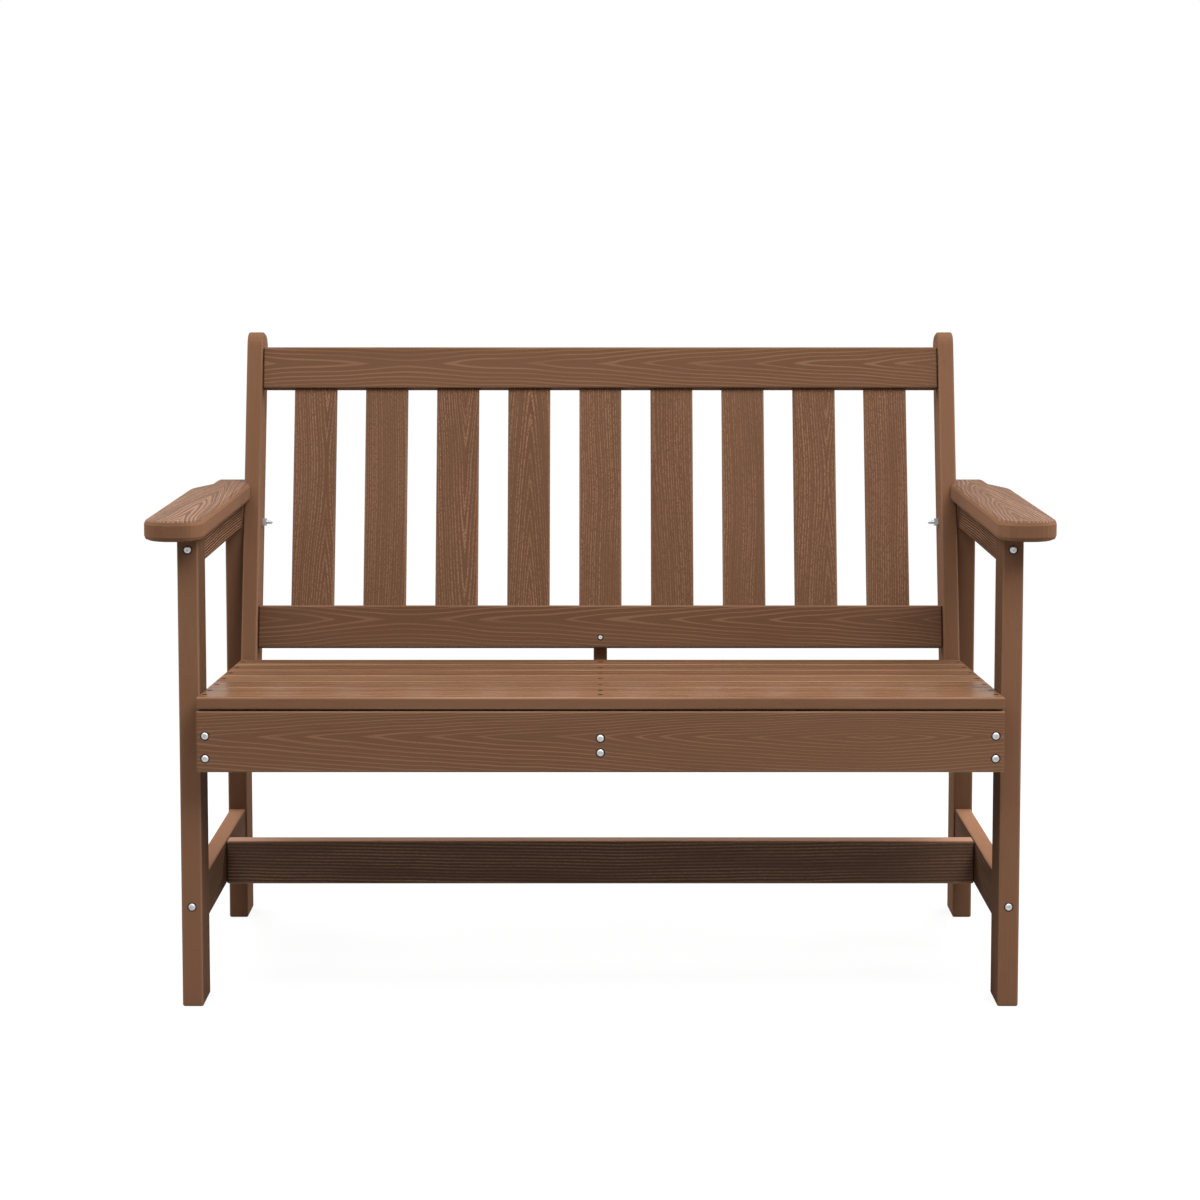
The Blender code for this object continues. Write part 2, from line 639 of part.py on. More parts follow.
def build_apron():
    """The apron across the front, bolted into the ends of the seat's rails in pairs."""
    ends = (-SEAT_HALF_LENGTH, SEAT_HALF_LENGTH)
    board("front_apron", root, ends, (-SEAT_OVERHANG, APRON_BACK), (APRON_BOTTOM, APRON_TOP))
    length = APRON_THICKNESS + END_GRAIN_BITE
    for place, x, rail, rise, spacing in (
        ("left", -SEAT_RAIL_MIDDLE, "seat_side_rail_left", APRON_END_BOLT_RISE, APRON_END_BOLT_SPACING),
        ("center", 0, "seat_center_rail", APRON_CENTER_BOLT_RISE, APRON_CENTER_BOLT_SPACING),
        ("right", SEAT_RAIL_MIDDLE, "seat_side_rail_right", APRON_END_BOLT_RISE, APRON_END_BOLT_SPACING),
    ):
        for level, height in (("lower", rise), ("upper", rise + spacing)):
            face = (x, -SEAT_OVERHANG, APRON_BOTTOM + height)
            fasten(f"apron_{level}_bolt_{place}", BOLT, root, face, TO_BACK, length, ("front_apron", rail))


def build_back_posts():
    """The raked posts, which stand on the seat's side rails, bolted to the rear legs."""

    def foot(y):
        """The height of the seat slats' underside, at a distance behind the post's front face."""
        return (y * math.sin(LEAN) - SEAT_SLAT_THICKNESS) / math.cos(LEAN)

    corners = (
        (0, foot(0), 0),
        (POST_DEPTH, foot(POST_DEPTH), 0),
        (POST_DEPTH, POST_TOP, POST_TOP_RADIUS),
        (0, POST_TOP, POST_TOP_RADIUS),
    )
    nut_low = POST_INNER - JOINT_GAP - NUT_HEIGHT
    for side_name, side in SIDES:
        post, nut = "back_post_" + side_name, "post_nut_" + side_name
        side_board(post, back_frame, across(side, POST_INNER, POST_OUTER), corners)
        nut_mesh = hexagon_mesh(nut, NUT_FLATS, nut_low, nut_low + NUT_HEIGHT)
        nut_turn = (math.radians(90), 0, math.radians(90 * side))
        make_piece(nut, nut_mesh, root, (0, REAR_LEG_MIDDLE, POST_BOLT_HEIGHT), nut_turn, STEEL)
        face = (side * LEG_OUTER, REAR_LEG_MIDDLE, POST_BOLT_HEIGHT)
        length = LEG_OUTER - nut_low + POST_BOLT_STUB
        joined = ("rear_leg_" + side_name, post, nut)
        fasten("post_bolt_" + side_name, BOLT, root, face, Vector((-side, 0, 0)), length, joined)


def build_back_panel():
    """Two rails between the posts, screwed to them, with the slats tenoned into both."""
    ends = (-BACK_RAIL_END, BACK_RAIL_END)
    depth = (BACK_RAIL_RECESS, BACK_RAIL_BACK)
    for rail, rise in (("back_bottom_rail", BOTTOM_RAIL_RISE), ("back_top_rail", TOP_RAIL_RISE)):
        board(rail, back_frame, ends, depth, (rise, rise + BACK_RAIL_WIDTH))
        for side_name, side in SIDES:
            for share in (1 / 4, 3 / 4):
                face = (side * POST_OUTER, BACK_RAIL_MIDDLE, rise + share * BACK_RAIL_WIDTH)
                length = POST_THICKNESS + BACK_RAIL_SCREW_BITE
                joined = ("back_post_" + side_name, rail)
                screw_hole(rail + "_hole", back_frame, face, Vector((-side, 0, 0)), length, joined)
    half_width, half_thickness = BACK_SLAT_WIDTH / 2, BACK_SLAT_THICKNESS / 2
    low, high = BOTTOM_RAIL_TOP - TENON_LENGTH, TOP_RAIL_RISE + TENON_LENGTH

    def slat_ranges(index, spare):
        x = (index - (BACK_SLATS - 1) / 2) * BACK_SLAT_PITCH
        return (
            (x - half_width - spare, x + half_width + spare),
            (BACK_RAIL_MIDDLE - half_thickness - spare, BACK_RAIL_MIDDLE + half_thickness + spare),
            (low - spare, high + spare),
        )

    for index in range(BACK_SLATS):
        name = f"back_slat_{index + 1}"
        board(name, back_frame, *slat_ranges(index, 0))
        mortise = box_cutter(name + "_mortise", back_frame, *slat_ranges(index, JOINT_GAP))
        for rail in ("back_bottom_rail", "back_top_rail"):
            cut(pieces[rail], mortise)


def build_center_brace():
    """A short brace from the back's bottom rail down behind the seat's center rail, held by one screw."""
    half = CENTER_RAIL_THICKNESS / 2
    depth = (BRACE_FRONT, BRACE_FRONT + BRACE_DEPTH)
    height = (-SEAT_RAIL_BOTTOM_DROP, BOTTOM_RAIL_RISE + BRACE_LAP)
    board("center_brace", back_frame, (-half, half), depth, height)
    face = (0, BACK_RAIL_RECESS, BOTTOM_RAIL_RISE + BRACE_SCREW_RISE)
    length = BACK_RAIL_THICKNESS + SCREW_BITE
    joined = ("back_bottom_rail", "center_brace")
    fasten("center_brace_screw", SCREW, back_frame, face, TO_BACK, length, joined)


clear_scene()
parts = make_collection("outdoor_bench")
cutters = make_collection("outdoor_bench_cutters")
root = make_frame("bench_frame", None, (0, -BENCH_MIDDLE, 0), 0)
seat_frame = make_frame("seat_frame", root, (0, -SEAT_OVERHANG, SEAT_FRONT_HEIGHT), -SEAT_PITCH)
back_frame = make_frame("back_frame", root, (0, CREASE_Y, CREASE_Z), -BACK_RAKE)
for side_name, side in SIDES:
    build_leg_frame(side_name, side)
    build_armrest(side_name, side)
build_cross_stretcher()
build_seat_rails()
build_seat_slats()
build_apron()
build_back_posts()
build_back_panel()
build_center_brace()
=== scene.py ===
"""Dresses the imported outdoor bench: wood grain, steel, screws, pale floor, studio light and camera."""

import json
import math
from typing import NamedTuple

import bmesh
import bpy
from mathutils import Matrix, Vector


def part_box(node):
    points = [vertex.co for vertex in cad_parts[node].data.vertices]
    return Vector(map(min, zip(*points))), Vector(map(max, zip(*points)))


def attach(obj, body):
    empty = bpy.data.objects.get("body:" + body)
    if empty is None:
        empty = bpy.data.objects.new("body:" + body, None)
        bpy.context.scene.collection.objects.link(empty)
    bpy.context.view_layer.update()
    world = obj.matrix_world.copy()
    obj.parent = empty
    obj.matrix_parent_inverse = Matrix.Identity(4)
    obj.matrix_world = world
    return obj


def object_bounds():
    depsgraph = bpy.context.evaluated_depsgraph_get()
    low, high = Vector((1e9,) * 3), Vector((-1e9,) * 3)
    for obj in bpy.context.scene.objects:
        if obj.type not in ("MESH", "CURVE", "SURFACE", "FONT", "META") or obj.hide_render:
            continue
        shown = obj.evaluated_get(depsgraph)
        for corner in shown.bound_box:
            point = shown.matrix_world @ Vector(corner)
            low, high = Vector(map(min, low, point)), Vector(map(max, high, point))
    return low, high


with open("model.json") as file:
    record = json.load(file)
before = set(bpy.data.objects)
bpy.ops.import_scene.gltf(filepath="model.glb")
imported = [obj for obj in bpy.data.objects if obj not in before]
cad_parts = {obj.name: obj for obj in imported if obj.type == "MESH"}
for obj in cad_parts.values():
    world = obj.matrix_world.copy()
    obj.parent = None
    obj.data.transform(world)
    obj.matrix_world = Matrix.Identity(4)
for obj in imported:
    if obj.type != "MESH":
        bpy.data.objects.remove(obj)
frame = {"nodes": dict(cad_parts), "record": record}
cad_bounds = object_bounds()

UP = Vector((0, 0, 1))
SIDES = {"left": -1, "right": 1}

# Camera: place in metres, tilt in degrees, sensor in millimetres, focal length in pixels, shifts in frames
FRAME_PIXELS = 1200
FOCAL_PIXELS = 2580.1
SENSOR_WIDTH = 36.0
CAMERA_Y = -3.7232
CAMERA_HEIGHT = 1.0843
CAMERA_TILT = 4.593
CAMERA_SHIFT_X = -0.0003
CAMERA_SHIFT_Y = -0.15


class Softbox(NamedTuple):
    """A square area light, turned to the middle of the bench."""

    name: str
    power: float  # watts
    azimuth: float  # degrees from the front, to the right
    elevation: float  # degrees above the middle of the bench
    glossy: bool  # whether it shows in glossy surfaces


# Light: softboxes at one distance from the middle of the bench, and a weak even surround
SOFTBOXES = (
    Softbox("right_key_softbox", 192.0, 38, 54, True),
    Softbox("left_key_softbox", 84.0, -34, 54, True),
    Softbox("left_softbox", 60.0, -85, 30, False),
    Softbox("right_softbox", 60.0, 85, 30, False),
    Softbox("back_left_softbox", 130.0, -140, 32, True),
    Softbox("back_right_softbox", 130.0, 140, 32, True),
)
SOFTBOX_SIZE = 2.4
SOFTBOX_DISTANCE = 4.2
SURROUND = 0.18

# Floor: its size in metres, the colour that lights the bench, the shade it shows, and where that fades out
FLOOR_SIZE = 60.0
FLOOR_DROP = 0.0004
FLOOR_COLOR = (0.3, 0.3, 0.3, 1)
WHITE = (1, 1, 1, 1)
FLOOR_SHADE = 0.1
SHADE_REACH = (0.9, 2.2)

# Lumber: colours, tints, and roughness at its least and greatest
BROWN = (0.176, 0.089, 0.050)
DARK_BROWN = (0.146, 0.071, 0.039)
LIGHT_BROWN = (0.272, 0.145, 0.086)
# A light brown for rubbed corners, which also paints in edge highlights
WORN_AND_HIGHLIT_BROWN = (0.36, 0.21, 0.135)
NEUTRAL = (1.0, 1.0, 1.0)
WARM = (1.0, 0.98, 0.91)
MATTE = (0.75, 0.95)
SATIN = (0.5, 0.7)
POLISHED = (0.2, 0.3)
LUMBER_IOR = 1.45


class Grain(NamedTuple):
    """The look of a board. The values here are those of plain lumber."""

    spacing: float = 0.0045  # metres from one growth line to the next
    slope: float = 0.03  # how steeply the tree's heart leaves the face
    line: float = 0.8  # how broad the light lines are, from 0 to 1
    even: float = 0.0  # how evenly they are spaced, from 0 to 1
    waver: float = 1.0  # how far they waver, in spacings
    dashes: float = 0.4  # how far they break into dashes, from 0 to 1
    strength: float = 0.4  # how strongly they show, from 0 to 1
    light: float = 0.97  # how light they are
    relief: float = 0.00012  # how high they stand, in metres
    tone: float = 0.97  # how light the wide faces are between them; on many boards set lighter or darker as painted light and shade
    edge: float = 0.97  # how light the other faces are; on many boards set lighter or darker as painted light and shade
    wear: float = 0.5  # how far the corners are rubbed lighter, as real rubbing and as a painted highlight
    grime: float = 0.0  # how dark the painted shade is towards its ends
    seam: float = 0.0  # how dark the painted shade and dirt are right at its ends, in the joints
    bore: float = 0.0  # how dark the painted shade and dirt are on the walls of its screw holes
    gloss: tuple = MATTE  # least and greatest roughness
    specular: float = 0.03  # specular level
    tint: tuple = NEUTRAL  # tint of the wide faces


# Grain: a board takes the first of these that its name starts with, and is plain where there is none. Their
# tones, edges and line lightness are set board by board to paint in light and shade.
PLAIN_GRAIN = Grain()
RAIL_GRAIN = Grain(spacing=0.0046, slope=0.062, line=0.5, even=0.6, dashes=0.15, strength=0.62, seam=0.6)
SLAT_GRAIN = Grain(spacing=0.0034, slope=0.058, even=0.3, dashes=0.9, strength=0.78, relief=0.00018)
RIDGE_GRAIN = Grain(spacing=0.0047, even=0.6, waver=0.6, strength=1.0, relief=0.00035)
SEAT_GRAIN = Grain(
    spacing=0.014,
    line=0.7,
    strength=0.9,
    relief=0.0001,
    tone=0.79,
    wear=1.0,
    bore=0.5,
    tint=WARM,
)
ARM_GRAIN = Grain(
    spacing=0.0046,
    slope=0.07,
    line=0.9,
    even=0.3,
    waver=1.4,
    dashes=0.2,
    strength=0.85,
    light=0.88,
    relief=0.0004,
    tone=0.56,
    edge=1.18,
    gloss=SATIN,
    specular=0.024,
)
# The apron's corners are rubbed lighter than most, as a stronger painted highlight along its top edge
APRON_GRAIN = RAIL_GRAIN._replace(
    slope=0.068, even=0.5, light=0.92, tone=0.9, edge=0.95, wear=1.2, seam=0.0
)
# The bottom rail is darker all over, as painted shade under the seat, and darker still towards its ends, as
# painted shade beside the posts
BOTTOM_RAIL_GRAIN = RAIL_GRAIN._replace(
    even=0.45, strength=0.66, light=0.75, tone=0.66, edge=0.78, grime=0.15
)
GRAINS = {
    "front_apron": APRON_GRAIN,
    # The back's rails and slats are darkened, painting shade on their raked faces
    "back_top_rail": RAIL_GRAIN._replace(light=0.81, tone=0.73, edge=0.86),
    "back_bottom_rail": BOTTOM_RAIL_GRAIN,
    "back_slat": SLAT_GRAIN._replace(light=0.93, tone=0.705, edge=0.8),
    # The seat slats darken from front to back, as painted shade under the back and arms
    "seat_slat_1": SEAT_GRAIN._replace(tone=0.88, bore=0.9, gloss=POLISHED, specular=0.009),
    "seat_slat_2": SEAT_GRAIN._replace(gloss=POLISHED, specular=0.007),
    "seat_slat_3": SEAT_GRAIN._replace(gloss=SATIN, specular=0.013),
    "seat_slat": SEAT_GRAIN._replace(tone=0.67, specular=0.01),
    # The cross stretcher's wide faces are darkened as painted shade under the seat, and its narrow faces,
    # its top among them, lightened as painted light
    "cross_stretcher": RIDGE_GRAIN._replace(light=1.0, tone=0.51, edge=1.9, seam=0.6, specular=0.45),
    # The side stretchers' wide faces are darkened as painted shade, and their narrow faces, the tops among
    # them, lightened as painted light
    "side_stretcher": RIDGE_GRAIN._replace(light=0.9, tone=0.4, edge=1.5),
    # The arm supports' wide faces are darkened as painted shade under the arms
    "arm_support": RIDGE_GRAIN._replace(spacing=0.0038, light=1.1, tone=0.42),
    # The armrests' tops are set darker and their narrow faces lighter, painting light and shade into them
    "armrest": ARM_GRAIN,
    # The front legs' sides are darkened as painted shade, and their fronts and backs lightened as painted
    # light
    "front_leg": PLAIN_GRAIN._replace(tone=0.55, edge=1.1),
    # The centre brace is lightened all over as painted light, where it lies in shade behind the bottom rail
    "center_brace": PLAIN_GRAIN._replace(tone=1.4, edge=1.4),
    # The rear legs' narrow faces are darkened as painted shade under the arms
    "rear_leg": PLAIN_GRAIN._replace(tone=0.95, edge=0.85),
}


class Heart(NamedTuple):
    """Where the tree's heart lies in a board, in metres from the board's middle."""

    aside: float  # across the board
    first: float  # along the board, where the heart meets the face
    second: float  # along the board, where it meets the face again
    tighter: float = 1.0  # how much tighter the lines are on the negative side of the heart


# Hearts of the boards with arches. The others have theirs far aside, so that their lines run straight.
HEARTS = {
    "front_apron": Heart(-0.007, 0.365, 2.5, 1.4),
    "back_top_rail": Heart(-0.006, -1.22, 0.62),
    "back_bottom_rail": Heart(-0.010, -1.20, 0.66),
    "back_slat_1": Heart(0.018, -0.32, 0.40),
    "back_slat_3": Heart(0.012, 0.34, 1.0),
    "back_slat_4": Heart(0.002, -0.22, 1.0),
    "back_slat_6": Heart(-0.028, -0.20, 0.5),
    "back_slat_8": Heart(0.018, -0.32, 0.40),
    "armrest_left": Heart(-0.008, -0.40, 1.0),
    "armrest_right": Heart(0.008, -0.40, 1.0),
}
STRAIGHT = Heart(0.16, -1.0, 1.0)
HEART_POWER = 0.8
HEART_ROUNDING = 0.15
ARCH_POWER = 1.3


class Texture(NamedTuple):
    """A noise over a board: its scales along, across and through the board, its detail and its own seed."""

    scales: tuple
    detail: float
    seed: float


# Textures: drift and wobble of the lines, their breaks and their fading, fibres, and slow changes of tone
DRIFT = Texture((5, 0, 0), 1.0, 0)
WOBBLE = Texture((9, 30, 0), 2.0, 3)
BREAKS = Texture((240, 560, 0), 1.0, 13)
FADES = Texture((4, 40, 0), 2.0, 5)
FIBRES = Texture((28, 620, 620), 3.0, 7)
TONES = Texture((2, 12, 12), 2.0, 11)
NOISE_MEAN = 0.5
SEED_STEP = 1.37

# Growth lines: how far they drift in wavers, how they follow from the rings, and how they break and fade
DRIFT_WAVERS = 3
HALF_RING = 0.5
BANDS_PER_RING = 2
BAND_DETAIL = 1.0
THINNEST_LINE = 0.7
LINE_GAIN = 0.3
LINE_BLUR = 0.15
BREAK_RANGE = (0.35, 0.6)
FADE_RANGE = (0.3, 0.6)
FADED = 0.35

# Faces: how squarely one faces to count as wide or as an end, and the ranges of noise that show on it
WIDE_FACING = (0.7, 0.98)
END_FACING = (0.7, 0.95)
TONE_RANGE = (0.3, 0.7)
FIBRE_RANGE = (0.3, 0.7)
FIBRE_SHARES = (0.2, 0.8)
GLOSS_RANGE = (0.2, 0.8)
FIBRE_RELIEF = 0.35

# Age and painted shade: sawn ends, rubbed corners with painted highlights, painted shade towards the ends,
# and painted shade with dirt in joints and holes, with their reach in metres
SAWN_SHARE = 0.5
SAWN_TONE = 0.8
EDGE_ZONE = 0.0035
WEAR_AND_HIGHLIGHT_RANGE = (0.35, 0.65)
LEAST_WEAR_AND_HIGHLIGHT = 0.3
END_SHADE_REACH = 0.045
END_SHADE_TONE = 0.4
JOINT_SHADE_REACH = 0.003
SHADE_AND_DIRT_TONE = 0.1

# Measuring: the angle from which an edge counts, and the distance within which points are one
CREASE_ANGLE = math.radians(15)
WELD_DISTANCE = 0.00001


class Steel(NamedTuple):
    """A finish of steel."""

    name: str
    color: tuple
    roughness: float


# Steel: its finishes, the grit in its polish and its dull spots
STAINLESS = Steel("stainless_steel", (0.54, 0.54, 0.55), 0.45)
ZINC_PLATED = Steel("zinc_plated_steel", (0.62, 0.65, 0.69), 0.38)
COATED = Steel("coated_steel", (0.028, 0.016, 0.010), 0.45)
GRIT_SCALE = 2200.0
GRIT_DETAIL = 3.0
GRIT_RANGE = (0.25, 0.75)
GRIT_ROUGHNESS = (0.75, 1.35)
GRIT_STRENGTH = 0.4
GRIT_RELIEF = 0.00003
SPOT_SCALE = 260.0
SPOT_DETAIL = 2.0
SPOT_RANGE = (0.35, 0.75)
SPOT_TONE = 0.8

# Screws: coated heads sunk in the counterbores of the frame's screw holes, in metres and shares
SCREW_SINK = 0.0042
SCREW_HEAD_RADIUS = 0.0037
SCREW_HEAD_HEIGHT = 0.0026
SCREW_HEAD_FLAT_SHARE = 0.9
SCREW_HEAD_SIDE_SHARES = (0.8, 0.4)
SCREW_RECESS_RADIUS = 0.0018
SCREW_RECESS_DEPTH = 0.0014
SCREW_RECESS_FLOOR_SHARE = 0.8
SCREW_LOBES = 6
SCREW_LOBE_SHARE = 0.16
SCREW_CREST = 0.0015
SCREW_ROOT = 0.0011
SCREW_THREAD_PITCH = 0.0016
SCREW_POINT = 0.003
SCREW_TIP_SHARE = 0.2
SCREW_STEPS = 24
SEAT_SLATS = 6
SEAT_SCREW_LENGTH = 0.031
SEAT_SCREW_END_INSET = 0.0082
SEAT_SCREW_EDGE_INSET = 0.0288
POST_SCREW_LENGTH = 0.048
POST_SCREW_SHARES = {"lower": -0.5, "upper": 0.5}
ARM_SCREW_LENGTH = 0.053
ARM_SCREW_SHARES = {"front": -0.5, "rear": 0.5}

# The Mix node's sockets for colours, which come after those for numbers and vectors
MIX_FACTOR = 0
MIX_FIRST = 6
MIX_SECOND = 7
MIX_RESULT = 2


class Board(NamedTuple):
    """A board's middle, its axes and its half sizes."""

    middle: Vector
    along: Vector
    across: Vector
    through: Vector
    half_length: float
    half_width: float
    half_thickness: float


def add(tree, kind, inputs, **settings):
    """A shader node with its settings, and its inputs linked or set."""
    node = tree.nodes.new(kind)
    for name, value in settings.items():
        setattr(node, name, value)
    for name, value in inputs.items():
        if isinstance(value, bpy.types.NodeSocket):
            tree.links.new(value, node.inputs[name])
        else:
            node.inputs[name].default_value = value
    return node


def work(tree, operation, *values):
    """The output of a math node."""
    return add(tree, "ShaderNodeMath", dict(enumerate(values)), operation=operation).outputs[0]


def rescale(tree, value, low, high, to_low=0.0, to_high=1.0):
    """A value eased from one range into another and held at its ends."""
    inputs = {"Value": value, "From Min": low, "From Max": high, "To Min": to_low, "To Max": to_high}
    return add(tree, "ShaderNodeMapRange", inputs, interpolation_type="SMOOTHSTEP").outputs["Result"]


def blend(tree, factor, first, second):
    """A colour between two others."""
    inputs = {MIX_FACTOR: factor, MIX_FIRST: first, MIX_SECOND: second}
    return add(tree, "ShaderNodeMix", inputs, data_type="RGBA").outputs[MIX_RESULT]


def noise(tree, vector, detail, scale=1.0):
    """Noise between 0 and 1."""
    inputs = {"Vector": vector, "Scale": scale, "Detail": detail}
    return add(tree, "ShaderNodeTexNoise", inputs).outputs["Fac"]


def object_place(tree):
    """A place in the object's own coordinates."""
    return add(tree, "ShaderNodeTexCoord", {}).outputs["Object"]


def facing(tree, axis):
    """How squarely a surface faces along an axis, from 0 to 1."""
    normal = add(tree, "ShaderNodeNewGeometry", {}).outputs["Normal"]
    toward = add(tree, "ShaderNodeVectorMath", {0: normal, 1: axis}, operation="DOT_PRODUCT")
    return work(tree, "ABSOLUTE", toward.outputs["Value"])


def scaled(color, share, tint=NEUTRAL):
    """A colour for a socket, lightened or darkened, and tinted."""
    return tuple(share * channel * shift for channel, shift in zip(color, tint)) + (1,)


def new_material(name):
    """A material with an empty tree, and its output."""
    material = bpy.data.materials.new(name)
    material.use_nodes = True
    tree = material.node_tree
    tree.nodes.clear()
    return material, tree, tree.nodes.new("ShaderNodeOutputMaterial")


def new_mesh(name, shape, material):
    """A mesh from a finished bmesh, with its material."""
    mesh = bpy.data.meshes.new(name)
    shape.to_mesh(mesh)
    shape.free()
    mesh.materials.append(material)
    return mesh


def new_object(name, data):
    """An object in the scene."""
    item = bpy.data.objects.new(name, data)
    bpy.context.scene.collection.objects.link(item)
    return item


def forward(axis):
    """An axis, turned round if its largest part is negative."""
    return -axis if max(axis, key=abs) < 0 else axis


def measure_board(node):
    """A board's axes, from its longest edge and its largest face, with its middle and half sizes."""
    shape = bmesh.new()
    shape.from_mesh(node.data)
    bmesh.ops.remove_doubles(shape, verts=shape.verts, dist=WELD_DISTANCE)
    creases = [edge for edge in shape.edges if edge.is_manifold and edge.calc_face_angle() > CREASE_ANGLE]
    longest = max(creases, key=lambda edge: edge.calc_length())
    along = forward((longest.verts[1].co - longest.verts[0].co).normalized())
    through = forward(max(shape.faces, key=lambda face: face.calc_area()).normal.copy())
    across = through.cross(along)
    axes = Matrix((along, across, through))
    places = [axes @ vert.co for vert in shape.verts]
    shape.free()
    lows = Vector(map(min, zip(*places)))
    highs = Vector(map(max, zip(*places)))
    middle = axes.transposed() @ ((lows + highs) / 2)
    half = (highs - lows) / 2
    return Board(middle, along, across, through, *half)


def board_places(tree, board):
    """Places along, across and through a board, from its middle."""
    turn = Matrix((board.along, board.across, board.through)).transposed().to_euler()
    mapping = {"Vector": object_place(tree), "Location": board.middle, "Rotation": turn}
    local = add(tree, "ShaderNodeMapping", mapping, vector_type="TEXTURE").outputs[0]
    return tuple(add(tree, "ShaderNodeSeparateXYZ", {0: local}).outputs)


def board_noise(tree, places, texture, seed):
    """A noise stretched over a board, and moved so that no two boards match."""
    parts = {}
    for index, (place, scale) in enumerate(zip(places, texture.scales)):
        parts[index] = work(tree, "MULTIPLY_ADD", place, scale, (seed + texture.seed) * (index + 1))
    vector = add(tree, "ShaderNodeCombineXYZ", parts).outputs[0]
    return noise(tree, vector, texture.detail)


def swayed(tree, value, places, texture, reach, seed):
    """A value moved up and down by a noise."""
    sway = work(tree, "SUBTRACT", board_noise(tree, places, texture, seed), NOISE_MEAN)
    return work(tree, "MULTIPLY_ADD", sway, reach, value)


def ring_count(tree, places, grain, heart, seed):
    """How many rings a place lies from the tree's heart, which dips away from where it meets the face."""
    u, v, _ = places
    meetings = (heart.first, heart.second)
    ways = [work(tree, "ABSOLUTE", work(tree, "SUBTRACT", u, meeting)) for meeting in meetings]
    way = work(tree, "SMOOTH_MIN", *ways, HEART_ROUNDING)
    depth = work(tree, "MULTIPLY", work(tree, "POWER", way, HEART_POWER), grain.slope)
    waver = grain.waver * grain.spacing
    uneven = swayed(tree, depth, places, DRIFT, DRIFT_WAVERS * waver, seed)
    beside = work(tree, "SUBTRACT", swayed(tree, v, places, WOBBLE, waver, seed), heart.aside)
    across = work(tree, "MAXIMUM", beside, work(tree, "MULTIPLY", beside, -heart.tighter))
    powers = [work(tree, "POWER", work(tree, "ABSOLUTE", part), ARCH_POWER) for part in (across, uneven)]
    radius = work(tree, "POWER", work(tree, "ADD", *powers), 1 / ARCH_POWER)
    return work(tree, "DIVIDE", radius, grain.spacing)


def growth_lines(tree, places, grain, heart, seed):
    """Light growth lines of uneven width, which close in arches where the heart meets the face."""
    rings = ring_count(tree, places, grain, heart, seed)
    wave = work(tree, "DIVIDE", work(tree, "PINGPONG", rings, HALF_RING), HALF_RING)
    years = work(tree, "MULTIPLY_ADD", rings, BANDS_PER_RING, seed)
    band_inputs = {"W": years, "Scale": 1.0, "Detail": BAND_DETAIL}
    bands = add(tree, "ShaderNodeTexNoise", band_inputs, noise_dimensions="1D").outputs["Fac"]
    mixed = work(tree, "MULTIPLY_ADD", work(tree, "SUBTRACT", wave, bands), grain.even, bands)
    least = THINNEST_LINE - LINE_GAIN * grain.line
    lines = rescale(tree, mixed, least, least + LINE_BLUR)
    breaks = board_noise(tree, places, BREAKS, seed)
    dashes = rescale(tree, breaks, *BREAK_RANGE, 1 - grain.dashes, 1)
    fades = rescale(tree, board_noise(tree, places, FADES, seed), *FADE_RANGE, FADED)
    return work(tree, "MULTIPLY", work(tree, "MULTIPLY", lines, dashes), fades)


def mottled(tree, share, tint, fibres, tones):
    """Brown with a slow change of tone and fine fibres, lightened or darkened, and tinted."""
    dark = scaled(DARK_BROWN, share, tint)
    plain = scaled(BROWN, share, tint)
    slow = blend(tree, rescale(tree, tones, *TONE_RANGE), dark, plain)
    return blend(tree, rescale(tree, fibres, *FIBRE_RANGE, *FIBRE_SHARES), slow, plain)


def near_edge(tree, place, half_size):
    """1 at a board's side, fading to 0 a short way in."""
    return rescale(tree, work(tree, "ABSOLUTE", place), half_size - EDGE_ZONE, half_size)


def near_end(tree, u, board, reach, most):
    """A given most at a board's ends, fading to 0 over a reach."""
    start = board.half_length - reach
    return rescale(tree, work(tree, "ABSOLUTE", u), start, board.half_length, 0, most)


def drilled(tree, board, u, v, wide):
    """1 on the walls of holes in a board's wide faces, and 0 on its outside."""
    inside = work(tree, "SUBTRACT", 1, wide)
    for place, half_size in ((u, board.half_length), (v, board.half_width)):
        clear = work(tree, "SUBTRACT", 1, near_edge(tree, place, half_size))
        inside = work(tree, "MULTIPLY", inside, clear)
    return inside


